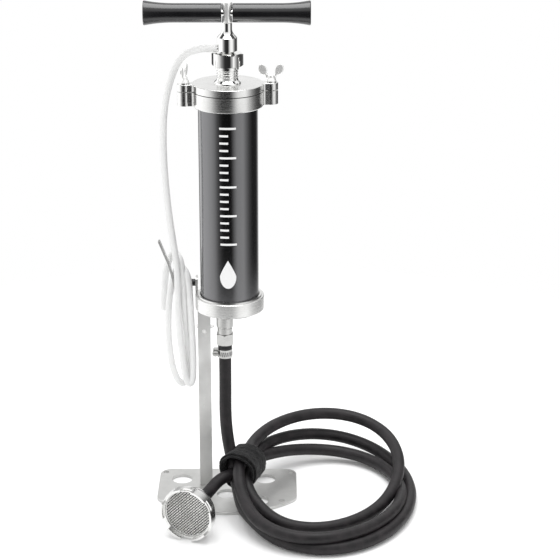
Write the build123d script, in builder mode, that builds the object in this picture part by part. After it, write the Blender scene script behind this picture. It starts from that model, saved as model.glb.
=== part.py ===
from build123d import *
import os
from math import cos, pi, radians, sin, sqrt, tan

os.makedirs("parts", exist_ok=True)

# A hand pump water filter on a foot plate. Millimetres, +Z up. The origin is on the floor,
# under the axis of the barrel; -Y is the front, and +X is to the right of a person in front.

# ---- Driving dimensions -------------------------------------------------------------------
# Foot plate and post
plate_width = 168.0
plate_front = -64.0
plate_back = 56.0
plate_thick = 3.5
plate_center_x = -5.0
plate_hole_r = 12.5
screw_hole_r = 3.5
post_x = -31.0
post_width = 15.0
post_thick = 3.0
post_front_y = 10.0
post_top = 232.0
post_bolt_z = 204.0

# Barrel, base cap and top ring
barrel_r = 34.0
barrel_wall = 2.0
ring_r = 40.3
cap_bottom = 238.2
cap_top = 255.0
barrel_bottom = 243.7
barrel_top = 492.0
ring_bottom = 481.5
ring_top = 498.6
fit_gap = 0.05

# Lid, lugs and the two studs that close it
lid_bottom = 499.5
lid_top = 507.5
lug_center = 49.0
lug_r = 8.0
lug_angle = 5.0
stud_r = 3.0
stud_top = 515.5

# Neck, union nut and outlet head
neck_top = 531.0
neck_r = 12.9
nut_bottom = 527.0
nut_top = 542.0
nut_across_flats = 31.2
nut_turn = 22.0
head_r = 11.25
head_stem_r = 7.5
head_neck_r = 5.6
head_top = 575.6
outlet_z = 546.5

# Pump
rod_r = 3.0
cylinder_ir = 13.0
cylinder_or = 15.0
cylinder_bottom = 284.0
piston_bottom = 304.0
piston_height = 16.0
run_gap = 0.06

# Handle
handle_z = 586.7
grip_r = 10.7
grip_end_r = 13.8
grip_inner_x = 6.2
grip_outer_x = 93.0
crossbar_r = 4.0

# Suction side
inlet_x = -6.0
inlet_y = -4.0
suction_r = 7.25
outlet_hose_r = 4.0


def wing_profile(base_r, wing_span, wing_top, wing_low):
    """Closed outline of one wing of a wing nut, in its own plane, from the axis outwards."""
    tip = wing_span / 2
    with BuildSketch(mode=Mode.PRIVATE) as profile:
        with BuildLine():
            Polyline(
                (base_r * 0.55, wing_low),
                (base_r, wing_low),
                (tip - 2.5, wing_top - 9.0),
                (tip, wing_top - 4.0),
                (tip - 2.0, wing_top),
                (tip - 6.5, wing_top - 1.5),
                (base_r * 0.8, wing_low + 6.0),
                (base_r * 0.55, wing_low + 6.0),
                close=True,
            )
        make_face()
    return profile


def hose_path(points):
    """Straight runs joined by tangent arcs, each arc as large as its two runs allow."""
    corners = [Vector(*p) for p in points]
    radii = []
    for before, corner, after in zip(corners, corners[1:], corners[2:]):
        turn = (corner - before).get_angle(after - corner)
        shorter = min((corner - before).length, (after - corner).length)
        radii.append(0.45 * shorter / tan(radians(turn / 2)))
    with BuildLine(mode=Mode.PRIVATE) as path:
        FilletPolyline(*corners, radius=radii)
    return path.wires()[0], radii


def report_hose(name, path, radii, section_r, volume):
    """Prints the arcs of a hose, its length, and its volume against section times length."""
    wanted = pi * section_r**2 * path.length
    print(name, "length", round(path.length, 1), "radii", [round(r, 1) for r in radii])
    print(name, "volume ratio", round(volume / wanted, 4))


# ---- Foot plate and post --------------------------------------------------------------------
# A flat plate with a straight back, rounded corners and a shallow curved front.
plate_left = plate_center_x - plate_width / 2
plate_right = plate_center_x + plate_width / 2
plate_side_front = -26.0
screw_back_x = 77.0
screw_back_y = 46.0
screw_front_x = 66.0
screw_front_y = -33.0
big_holes = [(-56, 27), (46, 27), (0, -14), (38, -32), (-38, -32)]

with BuildPart() as foot_plate:
    with BuildSketch():
        with BuildLine():
            Polyline(
                (plate_left, plate_side_front),
                (plate_left, plate_back),
                (plate_right, plate_back),
                (plate_right, plate_side_front),
            )
            ThreePointArc(
                (plate_right, plate_side_front),
                (plate_center_x, plate_front),
                (plate_left, plate_side_front),
            )
        make_face()
        with Locations(*[(plate_center_x + x, y) for x, y in big_holes]):
            Circle(plate_hole_r, mode=Mode.SUBTRACT)
        with Locations(
            (plate_center_x - screw_back_x, screw_back_y),
            (plate_center_x + screw_back_x, screw_back_y),
            (plate_center_x - screw_front_x, screw_front_y),
            (plate_center_x + screw_front_x, screw_front_y),
        ):
            Circle(screw_hole_r, mode=Mode.SUBTRACT)
    extrude(amount=plate_thick)
    back_corners = foot_plate.edges().filter_by(Axis.Z).group_by(Axis.Y)[-1]
    fillet(back_corners, radius=14)
    front_corners = [
        e
        for e in foot_plate.edges().filter_by(Axis.Z)
        if abs(e.center().Y - plate_side_front) < 0.1 and e.length < plate_thick + 0.1
    ]
    fillet(front_corners, radius=16)
    top_edges = foot_plate.faces().sort_by(Axis.Z)[-1].outer_wire().edges()
    fillet(top_edges, radius=0.8)
foot_plate.part.label = "foot_plate"
export_step(foot_plate.part, "parts/foot_plate.step")

# The post stands upright on the plate, with a fillet weld behind its foot.
post_back_y = post_front_y + post_thick
weld_leg = 3.5
post_plane = Plane(origin=(post_x, post_front_y, 0), x_dir=(1, 0, 0), z_dir=(0, -1, 0))
with BuildPart() as stand_post:
    with BuildSketch(post_plane):
        with Locations((0, (plate_thick + post_top) / 2)):
            Rectangle(post_width, post_top - plate_thick)
        with Locations((0, post_bolt_z)):
            Circle(2.55, mode=Mode.SUBTRACT)
    extrude(amount=-post_thick)
    upper = stand_post.edges().filter_by(Axis.Y).group_by(Axis.Z)[-1]
    fillet(upper, radius=3)
    with BuildSketch(Plane.YZ.offset(post_x - post_width / 2 + 1)):
        with BuildLine():
            Polyline(
                (post_back_y, plate_thick),
                (post_back_y + weld_leg, plate_thick),
                (post_back_y, plate_thick + weld_leg),
                close=True,
            )
        make_face()
    extrude(amount=post_width - 2)
stand_post.part.label = "stand_post"
export_step(stand_post.part, "parts/stand_post.step")

# The bracket hangs from the base cap, behind the post.
bracket_bottom = 192.0
bracket_plane = Plane(origin=(post_x, post_back_y, 0), x_dir=(1, 0, 0), z_dir=(0, -1, 0))
with BuildPart() as post_bracket:
    with BuildSketch(bracket_plane):
        with Locations((0, (bracket_bottom + cap_bottom) / 2)):
            Rectangle(12.0, cap_bottom - bracket_bottom)
        with Locations((0, post_bolt_z)):
            Circle(2.55, mode=Mode.SUBTRACT)
    extrude(amount=-post_thick)
    lower = post_bracket.edges().filter_by(Axis.Y).group_by(Axis.Z)[0]
    fillet(lower, radius=3)
post_bracket.part.label = "post_bracket"
export_step(post_bracket.part, "parts/post_bracket.step")

bracket_back_y = post_back_y + post_thick
stud_length = 20.0
with BuildPart() as post_stud:
    with BuildSketch(post_plane):
        with Locations((0, post_bolt_z)):
            Circle(2.5)
    extrude(amount=-(2 * post_thick + stud_length))
    chamfer(post_stud.edges().group_by(Axis.Y)[-1], length=0.6)
post_stud.part.label = "post_stud"
export_step(post_stud.part, "parts/post_stud.step")

# ---- Wing nuts and their washers ------------------------------------------------------------
washer_thick = 1.0
nut_bore_gap = 0.1


def wing_nut_solid(bore_r, base_r, collar_h, span, wing_h):
    """A wing nut standing on the XY plane with its wings along X."""
    with BuildPart(mode=Mode.PRIVATE) as nut:
        with BuildSketch(Plane.XZ):
            with BuildLine():
                Polyline(
                    (0, 0),
                    (base_r, 0),
                    (base_r, 1.2),
                    (base_r * 0.72, 3.0),
                    (base_r * 0.62, collar_h),
                    (0, collar_h),
                    close=True,
                )
            make_face()
        revolve(axis=Axis.Z)
        with BuildSketch(Plane.XZ):
            add(wing_profile(base_r, span, wing_h, 1.0).sketch)
            mirror(about=Plane.YZ)
        extrude(amount=1.3, both=True)
        with BuildSketch(Plane.XY):
            Circle(bore_r)
        extrude(amount=wing_h + 1, mode=Mode.SUBTRACT)
    return nut.part


wing_places = {
    "left": (180 + lug_angle, 78.0),
    "right": (lug_angle, 4.0),
}
for side, (around, wing_turn) in wing_places.items():
    lug_x = lug_center * cos(radians(around))
    lug_y = lug_center * sin(radians(around))
    with BuildPart() as lid_washer:
        with BuildSketch(Plane.XY.offset(lid_top)):
            with Locations((lug_x, lug_y)):
                Circle(6.2)
                Circle(stud_r + nut_bore_gap, mode=Mode.SUBTRACT)
        extrude(amount=washer_thick)
    lid_washer.part.label = f"lid_washer_{side}"
    export_step(lid_washer.part, f"parts/lid_washer_{side}.step")

    with BuildPart() as lid_wing_nut:
        with Locations(Location((lug_x, lug_y, lid_top + washer_thick), (0, 0, wing_turn))):
            add(wing_nut_solid(stud_r + nut_bore_gap, 6.2, 7.0, 30.0, 20.0))
    lid_wing_nut.part.label = f"lid_wing_nut_{side}"
    export_step(lid_wing_nut.part, f"parts/lid_wing_nut_{side}.step")

# Each stud is screwed into a lug of the ring; its rounded end shows just below.
with BuildPart() as lid_studs:
    with BuildSketch(Plane.XY.offset(ring_bottom - 0.5)):
        with PolarLocations(lug_center, 2, start_angle=lug_angle):
            Circle(stud_r)
    extrude(amount=stud_top - ring_bottom + 0.5)
    fillet(lid_studs.edges().group_by(Axis.Z)[0], radius=1.5)
    chamfer(lid_studs.edges().group_by(Axis.Z)[-1], length=0.6)
lid_studs.part.label = "lid_studs"
export_step(lid_studs.part, "parts/lid_studs.step")

# The post's wing nut faces backwards, with its wings level.
with BuildPart() as post_washer:
    with BuildSketch(Plane(origin=(post_x, bracket_back_y, post_bolt_z), z_dir=(0, 1, 0))):
        Circle(5.5)
        Circle(2.5 + nut_bore_gap, mode=Mode.SUBTRACT)
    extrude(amount=washer_thick)
post_washer.part.label = "post_washer"
export_step(post_washer.part, "parts/post_washer.step")

with BuildPart() as post_wing_nut:
    post_nut_y = bracket_back_y + washer_thick
    with Locations(Location((post_x, post_nut_y, post_bolt_z), (-90, 0, 0))):
        add(wing_nut_solid(2.5 + nut_bore_gap, 5.2, 6.0, 25.5, 15.0))
post_wing_nut.part.label = "post_wing_nut"
export_step(post_wing_nut.part, "parts/post_wing_nut.step")

# ---- Base cap, barrel and top ring ----------------------------------------------------------
inlet_bore_r = 6.0
base_floor = 4.0
with BuildPart() as base_cap:
    with BuildSketch(Plane.XZ):
        with BuildLine():
            Polyline(
                (0, cap_bottom),
                (ring_r - 1.2, cap_bottom),
                (ring_r, cap_bottom + 1.2),
                (ring_r, cap_top - 0.6),
                (ring_r - 0.6, cap_top),
                (37.6, cap_top),
                (37.2, cap_top + 1.6),
                (35.0, cap_top + 1.6),
                (barrel_r + fit_gap, cap_top + 0.6),
                (barrel_r + fit_gap, cap_bottom + base_floor),
                (0, cap_bottom + base_floor),
                close=True,
            )
        make_face()
    revolve(axis=Axis.Z)
    with BuildSketch(Plane.XY.offset(cap_bottom)):
        with Locations((inlet_x, inlet_y)):
            Circle(inlet_bore_r)
    extrude(amount=base_floor, mode=Mode.SUBTRACT)
base_cap.part.label = "base_cap"
export_step(base_cap.part, "parts/base_cap.step")

with BuildPart() as base_gasket:
    with BuildSketch(Plane.XY.offset(cap_bottom + base_floor)):
        Circle(barrel_r - fit_gap)
        Circle(barrel_r - 4.0, mode=Mode.SUBTRACT)
    extrude(amount=barrel_bottom - cap_bottom - base_floor)
base_gasket.part.label = "base_gasket"
export_step(base_gasket.part, "parts/base_gasket.step")

with BuildPart() as barrel:
    with BuildSketch(Plane.XY.offset(barrel_bottom)):
        Circle(barrel_r)
        Circle(barrel_r - barrel_wall, mode=Mode.SUBTRACT)
    extrude(amount=barrel_top - barrel_bottom)
barrel.part.label = "barrel"
export_step(barrel.part, "parts/barrel.step")


def lug_outline(hole_r):
    """Plan of a round disc with two opposite lugs, each with a hole for a stud."""
    with BuildSketch(mode=Mode.PRIVATE) as outline:
        Circle(ring_r)
        with PolarLocations(lug_center, 2, start_angle=lug_angle):
            Circle(lug_r)
        with PolarLocations((lug_center + ring_r) / 2 - 4, 2, start_angle=lug_angle):
            Rectangle(lug_center - ring_r + 14, 2 * lug_r - 1.5)
        inner = outline.vertices().filter_by(lambda v: abs(v.center().length - ring_r) < 0.6)
        fillet(inner, radius=3)
        with PolarLocations(lug_center, 2, start_angle=lug_angle):
            Circle(hole_r, mode=Mode.SUBTRACT)
    return outline.sketch


lug_bottom = 483.0
with BuildPart() as top_ring:
    with BuildSketch(Plane.XY.offset(lug_bottom)):
        add(lug_outline(stud_r + 0.02))
    extrude(amount=ring_top - lug_bottom)
    with BuildSketch(Plane.XY.offset(ring_bottom)):
        Circle(ring_r)
    extrude(amount=lug_bottom - ring_bottom)
    chamfer(top_ring.edges().group_by(Axis.Z)[0], length=1.0)
    with BuildSketch(Plane.XY.offset(ring_bottom)):
        Circle(barrel_r + fit_gap)
    extrude(amount=barrel_top - ring_bottom, mode=Mode.SUBTRACT)
    with BuildSketch(Plane.XY.offset(barrel_top)):
        Circle(barrel_r - barrel_wall)
    extrude(amount=ring_top - barrel_top, mode=Mode.SUBTRACT)
top_ring.part.label = "top_ring"
export_step(top_ring.part, "parts/top_ring.step")

with BuildPart() as lid_gasket:
    with BuildSketch(Plane.XY.offset(ring_top)):
        Circle(ring_r - 0.7)
        Circle(barrel_r - 1.0, mode=Mode.SUBTRACT)
    extrude(amount=lid_bottom - ring_top)
lid_gasket.part.label = "lid_gasket"
export_step(lid_gasket.part, "parts/lid_gasket.step")

# ---- Hook for the outlet hose ---------------------------------------------------------------
# The tab stands on the cap, to the left and behind; the hook is a bent flat strip, screwed to it.
tab_face_x = -40.6
tab_thick = 2.5
hook_screw_y = 21.0
hook_screw_z = 262.0
hook_face_x = -46.0
with BuildPart() as hook_tab:
    with BuildSketch(Plane.YZ.offset(tab_face_x)):
        with Locations((hook_screw_y - 1, (244.0 + 270.0) / 2)):
            RectangleRounded(16, 26.0, 3.5)
        with Locations((hook_screw_y, hook_screw_z)):
            Circle(2.05, mode=Mode.SUBTRACT)
    extrude(amount=tab_thick)
    with BuildSketch(Plane.XY.offset(cap_bottom - 1)):
        Circle(ring_r + fit_gap)
    extrude(amount=cap_top - cap_bottom + 1, mode=Mode.SUBTRACT)
hook_tab.part.label = "hook_tab"
export_step(hook_tab.part, "parts/hook_tab.step")

strip_thick = 2.0
strip_width = 8.0
hook_front_y = hook_screw_y - strip_width / 2
with BuildPart() as hose_hook:
    with BuildSketch(Plane(origin=(0, hook_front_y, 0), x_dir=(1, 0, 0), z_dir=(0, -1, 0))):
        with BuildLine():
            FilletPolyline(
                (hook_face_x - strip_thick, 268),
                (hook_face_x - strip_thick, 247),
                (-62, 247),
                (-70, 283),
                (-82, 314),
                radius=[6, 6, 40],
            )
            offset(amount=strip_thick, side=Side.LEFT)
        make_face()
    extrude(amount=-strip_width)
    with BuildSketch(Plane.YZ.offset(hook_face_x + 1)):
        with Locations((hook_screw_y, hook_screw_z)):
            Circle(2.05)
    extrude(amount=-6, mode=Mode.SUBTRACT)
hose_hook.part.label = "hose_hook"
export_step(hose_hook.part, "parts/hose_hook.step")

# A shouldered screw holds the hook away from the tab.
with BuildPart() as hook_screw:
    with BuildSketch(Plane.YZ.offset(tab_face_x + tab_thick)):
        with Locations((hook_screw_y, hook_screw_z)):
            Circle(2.0)
    extrude(amount=-(tab_face_x + tab_thick - hook_face_x + strip_thick))
    with BuildSketch(Plane.YZ.offset(tab_face_x)):
        with Locations((hook_screw_y, hook_screw_z)):
            Circle(4.2)
    extrude(amount=-(tab_face_x - hook_face_x))
    with BuildSketch(Plane.YZ.offset(hook_face_x - strip_thick)):
        with Locations((hook_screw_y, hook_screw_z)):
            Circle(3.6)
            RegularPolygon(1.4, 6, mode=Mode.SUBTRACT)
    extrude(amount=-1.8)
hook_screw.part.label = "hook_screw"
export_step(hook_screw.part, "parts/hook_screw.step")

# ---- Lid and neck ---------------------------------------------------------------------------
neck_bore_r = 9.0
with BuildPart() as lid:
    with BuildSketch(Plane.XY.offset(lid_bottom)):
        add(lug_outline(stud_r + 0.3))
    extrude(amount=lid_top - lid_bottom)
    rim = lid.faces().sort_by(Axis.Z)[-1].outer_wire().edges()
    fillet(rim, radius=0.9)
    with BuildSketch(Plane.XY.offset(lid_bottom)):
        Circle(barrel_r - barrel_wall - 0.5)
    extrude(amount=-5.5)
    with BuildSketch(Plane.XY.offset(lid_bottom - 6)):
        Circle(cylinder_or + fit_gap)
    extrude(amount=6, mode=Mode.SUBTRACT)
    with BuildSketch(Plane.XY.offset(lid_bottom - 6)):
        Circle(neck_bore_r)
    extrude(amount=20, mode=Mode.SUBTRACT)
lid.part.label = "lid"
export_step(lid.part, "parts/lid.step")

thread_bottom = 514.0
thread_pitch = 3.0
with BuildPart() as threaded_neck:
    with BuildSketch(Plane.XZ):
        with BuildLine():
            Polyline(
                (neck_bore_r, lid_top),
                (15.4, lid_top),
                (15.0, lid_top + 1.6),
                (12.4, lid_top + 4.0),
                (11.5, thread_bottom),
                (11.5, 522.8),
                (neck_r, 523.6),
                (neck_r, neck_top),
                (neck_bore_r, neck_top),
                close=True,
            )
        make_face()
        for turn in range(3):
            with Locations((11.5, thread_bottom + 1.2 + turn * thread_pitch)):
                Circle(0.75)
    revolve(axis=Axis.Z)
threaded_neck.part.label = "threaded_neck"
export_step(threaded_neck.part, "parts/threaded_neck.step")

nut_shoulder_z = 538.0
nut_face_r = nut_across_flats / 2
nut_corner_r = 18.4
nut_bevel = 1.6
with BuildPart() as union_nut:
    with BuildSketch(Plane.XY.offset(nut_bottom)):
        RegularPolygon(nut_face_r, 6, major_radius=False, rotation=30 + nut_turn)
    extrude(amount=nut_top - nut_bottom)
    with BuildSketch(Plane.XZ):
        with BuildLine():
            Polyline(
                (0, nut_bottom),
                (nut_face_r, nut_bottom),
                (nut_corner_r, nut_bottom + nut_bevel),
                (nut_corner_r, nut_top - nut_bevel),
                (nut_face_r, nut_top),
                (0, nut_top),
                close=True,
            )
        make_face()
    revolve(axis=Axis.Z, mode=Mode.INTERSECT)
    with BuildSketch(Plane.XY.offset(nut_bottom)):
        Circle(neck_r + fit_gap)
    extrude(amount=nut_shoulder_z - nut_bottom, mode=Mode.SUBTRACT)
    with BuildSketch(Plane.XY.offset(nut_shoulder_z)):
        Circle(head_stem_r + 0.1)
    extrude(amount=nut_top - nut_shoulder_z, mode=Mode.SUBTRACT)
union_nut.part.label = "union_nut"
export_step(union_nut.part, "parts/union_nut.step")

with BuildPart() as head_seal:
    with BuildSketch(Plane.XY.offset(neck_top)):
        Circle(neck_r - 0.2)
        Circle(neck_bore_r, mode=Mode.SUBTRACT)
    extrude(amount=1.0)
head_seal.part.label = "head_seal"
export_step(head_seal.part, "parts/head_seal.step")

# The outlet head is turned like a bottle: flange, stem, body, shoulder and a slim neck for the rod.
gland_r = 4.5
stub_r = 3.3
stub_bore_r = 2.2
stub_root_x = -head_r + 2.2
stub_length = 15.5
with BuildPart() as outlet_head:
    with BuildSketch(Plane.XZ):
        with BuildLine():
            Polyline(
                (gland_r, head_top),
                (gland_r, 557.0),
                (8.4, 553.5),
                (8.4, 545.5),
                (6.2, 543.5),
                (6.2, neck_top + 1.0),
                (neck_r - 0.1, neck_top + 1.0),
                (neck_r - 0.1, nut_shoulder_z - 0.1),
                (head_stem_r, nut_shoulder_z - 0.1),
                (head_stem_r, nut_top + 0.2),
                (head_r, nut_top + 2.6),
                (head_r, 559.4),
                (8.6, 562.4),
            )
            ThreePointArc((8.6, 562.4), (6.4, 565.2), (head_neck_r, 568.4))
            Polyline(
                (head_neck_r, 568.4),
                (head_neck_r, head_top),
                (gland_r, head_top),
            )
        make_face()
    revolve(axis=Axis.Z)
    with BuildSketch(Plane.YZ.offset(stub_root_x)):
        with Locations((0, outlet_z)):
            Circle(stub_r)
    extrude(amount=-stub_length)
    with BuildSketch(Plane.YZ.offset(stub_root_x - stub_length)):
        with Locations((0, outlet_z)):
            Circle(stub_bore_r)
    extrude(amount=stub_length + 1.7, mode=Mode.SUBTRACT)
outlet_head.part.label = "outlet_head"
export_step(outlet_head.part, "parts/outlet_head.step")

with BuildPart() as gland_bush:
    with BuildSketch(Plane.XY.offset(562.0)):
        Circle(gland_r - 0.02)
        Circle(rod_r + run_gap, mode=Mode.SUBTRACT)
    extrude(amount=head_top - 562.0 - 0.2)
gland_bush.part.label = "gland_bush"
export_step(gland_bush.part, "parts/gland_bush.step")

with BuildPart() as rod_seal:
    with BuildSketch(Plane.XY.offset(558.0)):
        Circle(gland_r - 0.02)
        Circle(rod_r + run_gap, mode=Mode.SUBTRACT)
    extrude(amount=4.0)
rod_seal.part.label = "rod_seal"
export_step(rod_seal.part, "parts/rod_seal.step")

# ---- Pump cylinder and ceramic candle, hanging from the lid ----------------------------------
with BuildPart() as pump_cylinder:
    with BuildSketch(Plane.XY.offset(cylinder_bottom)):
        Circle(cylinder_or)
        Circle(cylinder_ir, mode=Mode.SUBTRACT)
    extrude(amount=lid_bottom - cylinder_bottom)
    with BuildSketch(Plane.XZ.offset(-20)):
        with Locations((0, lid_bottom - 9.0)):
            Circle(2.0)
    extrude(amount=40, mode=Mode.SUBTRACT)
pump_cylinder.part.label = "pump_cylinder"
export_step(pump_cylinder.part, "parts/pump_cylinder.step")

candle_or = 27.0
candle_ir = 19.0
candle_bottom = 262.0
candle_top = 478.0
with BuildPart() as ceramic_candle:
    with BuildSketch(Plane.XY.offset(candle_bottom)):
        Circle(candle_or)
        Circle(candle_ir, mode=Mode.SUBTRACT)
    extrude(amount=candle_top - candle_bottom)
ceramic_candle.part.label = "ceramic_candle"
export_step(ceramic_candle.part, "parts/ceramic_candle.step")

with BuildPart() as candle_bottom_cap:
    with BuildSketch(Plane.XY.offset(candle_bottom - 8)):
        Circle(candle_or + 0.8)
    extrude(amount=8)
    with BuildSketch(Plane.XY.offset(candle_bottom)):
        Circle(candle_ir - fit_gap)
        Circle(candle_ir - 2.5, mode=Mode.SUBTRACT)
    extrude(amount=6)
candle_bottom_cap.part.label = "candle_bottom_cap"
export_step(candle_bottom_cap.part, "parts/candle_bottom_cap.step")

with BuildPart() as candle_top_cap:
    with BuildSketch(Plane.XY.offset(candle_top)):
        Circle(candle_or + 0.8)
    extrude(amount=8)
    with BuildSketch(Plane.XY.offset(candle_top + 8)):
        Circle(candle_ir)
    extrude(amount=6.5)
    with BuildSketch(Plane.XY.offset(candle_top)):
        Circle(cylinder_or + fit_gap)
    extrude(amount=15, mode=Mode.SUBTRACT)
candle_top_cap.part.label = "candle_top_cap"
export_step(candle_top_cap.part, "parts/candle_top_cap.step")

with BuildPart() as candle_gasket:
    with BuildSketch(Plane.XY.offset(candle_top + 14.5)):
        Circle(candle_ir)
        Circle(cylinder_or + fit_gap, mode=Mode.SUBTRACT)
    extrude(amount=lid_bottom - 5.5 - candle_top - 14.5)
candle_gasket.part.label = "candle_gasket"
export_step(candle_gasket.part, "parts/candle_gasket.step")

# Foot valve: a seat plugged into the cylinder, a ball and a cage that limits its lift.
seat_top = 288.0
foot_seat_r = 3.5
foot_ball_r = 5.0
foot_ball_z = seat_top + sqrt(foot_ball_r**2 - foot_seat_r**2) + 0.02
with BuildPart() as foot_valve_seat:
    with BuildSketch(Plane.XY.offset(seat_top - 8)):
        Circle(cylinder_or)
    extrude(amount=cylinder_bottom - seat_top + 8)
    with BuildSketch(Plane.XY.offset(cylinder_bottom)):
        Circle(cylinder_ir - fit_gap)
    extrude(amount=seat_top - cylinder_bottom)
    with BuildSketch(Plane.XY.offset(seat_top - 9)):
        Circle(foot_seat_r)
    extrude(amount=10, mode=Mode.SUBTRACT)
foot_valve_seat.part.label = "foot_valve_seat"
export_step(foot_valve_seat.part, "parts/foot_valve_seat.step")

with BuildPart() as foot_valve_ball:
    with Locations((0, 0, foot_ball_z)):
        Sphere(foot_ball_r)
foot_valve_ball.part.label = "foot_valve_ball"
export_step(foot_valve_ball.part, "parts/foot_valve_ball.step")

cage_top = 302.0
with BuildPart() as foot_valve_cage:
    with BuildSketch(Plane.XY.offset(seat_top)):
        Circle(cylinder_ir - fit_gap)
    extrude(amount=cage_top - seat_top)
    with BuildSketch(Plane.XY.offset(seat_top)):
        Circle(cylinder_ir - 2.0)
    extrude(amount=cage_top - seat_top - 2.0, mode=Mode.SUBTRACT)
    with BuildSketch(Plane.XY.offset(cage_top - 2.0)):
        with PolarLocations(7.0, 6):
            Circle(2.2)
    extrude(amount=2.0, mode=Mode.SUBTRACT)
foot_valve_cage.part.label = "foot_valve_cage"
export_step(foot_valve_cage.part, "parts/foot_valve_cage.step")

# ---- Piston and rod -------------------------------------------------------------------------
piston_r = cylinder_ir - 0.3
piston_top = piston_bottom + piston_height
piston_seat_z = piston_bottom + 5.0
piston_seat_r = 2.8
piston_ball_r = 4.0
groove_low = piston_bottom + 5.0
groove_high = piston_bottom + 9.0
with BuildPart() as piston:
    with BuildSketch(Plane.XZ):
        with BuildLine():
            Polyline(
                (piston_seat_r, piston_bottom),
                (piston_r, piston_bottom),
                (piston_r, groove_low),
                (piston_r - 1.7, groove_low),
                (piston_r - 1.7, groove_high),
                (piston_r, groove_high),
                (piston_r, piston_top),
                (8.0, piston_top),
                (8.0, piston_top - 3.0),
                (5.2, piston_top - 5.0),
                (5.2, piston_seat_z),
                (piston_seat_r, piston_seat_z),
                close=True,
            )
        make_face()
    revolve(axis=Axis.Z)
piston.part.label = "piston"
export_step(piston.part, "parts/piston.step")

with BuildPart() as piston_seal:
    with BuildSketch(Plane.XY.offset(groove_low + 0.2)):
        Circle(cylinder_ir - 0.08)
        Circle(piston_r - 1.65, mode=Mode.SUBTRACT)
    extrude(amount=groove_high - groove_low - 0.4)
    lips = piston_seal.edges().filter_by(GeomType.CIRCLE).group_by(SortBy.RADIUS)[-1]
    fillet(lips, radius=0.6)
piston_seal.part.label = "piston_seal"
export_step(piston_seal.part, "parts/piston_seal.step")

piston_ball_z = piston_seat_z + sqrt(piston_ball_r**2 - piston_seat_r**2) + 0.02
with BuildPart() as piston_valve_ball:
    with Locations((0, 0, piston_ball_z)):
        Sphere(piston_ball_r)
piston_valve_ball.part.label = "piston_valve_ball"
export_step(piston_valve_ball.part, "parts/piston_valve_ball.step")

crown_top = piston_top + 12.0
rod_bottom = piston_top + 4.2
with BuildPart() as piston_crown:
    with BuildSketch(Plane.XY.offset(piston_top)):
        Circle(8.8)
        with PolarLocations(6.2, 6):
            Circle(1.3, mode=Mode.SUBTRACT)
    extrude(amount=crown_top - piston_top)
    with BuildSketch(Plane.XY.offset(piston_top + 4.0)):
        Circle(rod_r + run_gap)
    extrude(amount=10, mode=Mode.SUBTRACT)
piston_crown.part.label = "piston_crown"
export_step(piston_crown.part, "parts/piston_crown.step")

rod_top = 582.0
with BuildPart() as piston_rod:
    with BuildSketch(Plane.XY.offset(rod_bottom)):
        Circle(rod_r)
    extrude(amount=rod_top - rod_bottom)
piston_rod.part.label = "piston_rod"
export_step(piston_rod.part, "parts/piston_rod.step")

# ---- T-handle -------------------------------------------------------------------------------
hub_bottom = head_top + 0.3
hub_top = 600.4
with BuildPart() as handle_hub:
    with BuildSketch(Plane.XZ):
        with BuildLine():
            Polyline((0, hub_bottom), (5.5, hub_bottom), (6.0, hub_bottom + 0.6))
            ThreePointArc((6.0, hub_bottom + 0.6), (5.2, 583.5), (5.9, 591.0))
            Polyline((5.9, 591.0), (5.9, hub_top - 2.2))
            ThreePointArc((5.9, hub_top - 2.2), (5.0, hub_top - 0.6), (3.4, hub_top))
            Polyline((3.4, hub_top), (0, hub_top), (0, hub_bottom))
        make_face()
    revolve(axis=Axis.Z)
    with BuildSketch(Plane.YZ.offset(-10)):
        with Locations((0, handle_z)):
            Circle(crossbar_r)
    extrude(amount=20, mode=Mode.SUBTRACT)
    with BuildSketch(Plane.XY.offset(hub_bottom)):
        Circle(rod_r)
    extrude(amount=rod_top - hub_bottom, mode=Mode.SUBTRACT)
handle_hub.part.label = "handle_hub"
export_step(handle_hub.part, "parts/handle_hub.step")

with BuildPart() as crossbar:
    with BuildSketch(Plane.YZ.offset(-grip_outer_x + 6)):
        with Locations((0, handle_z)):
            Circle(crossbar_r)
    extrude(amount=2 * (grip_outer_x - 6))
crossbar.part.label = "crossbar"
export_step(crossbar.part, "parts/crossbar.step")

flare_x = 58.0
for side, sign in (("left", -1), ("right", 1)):
    with BuildPart() as grip:
        with BuildSketch(Plane.XZ):
            with BuildLine():
                Polyline(
                    (sign * grip_outer_x, handle_z),
                    (sign * grip_inner_x, handle_z),
                    (sign * grip_inner_x, handle_z + grip_r - 0.6),
                    (sign * (grip_inner_x + 0.6), handle_z + grip_r),
                    (sign * flare_x, handle_z + grip_r),
                )
                ThreePointArc(
                    (sign * flare_x, handle_z + grip_r),
                    (sign * 77.0, handle_z + grip_r + 0.9),
                    (sign * (grip_outer_x - 0.8), handle_z + grip_end_r),
                )
                Polyline(
                    (sign * (grip_outer_x - 0.8), handle_z + grip_end_r),
                    (sign * grip_outer_x, handle_z + grip_end_r - 0.8),
                    (sign * grip_outer_x, handle_z),
                )
            make_face()
        revolve(axis=Axis(origin=(0, 0, handle_z), direction=(1, 0, 0)))
        with BuildSketch(Plane.YZ.offset(sign * (grip_inner_x - 1))):
            with Locations((0, handle_z)):
                Circle(crossbar_r)
        extrude(amount=sign * (grip_outer_x - 6 - grip_inner_x + 1), mode=Mode.SUBTRACT)
    grip.part.label = f"grip_{side}"
    export_step(grip.part, f"parts/grip_{side}.step")

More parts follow.
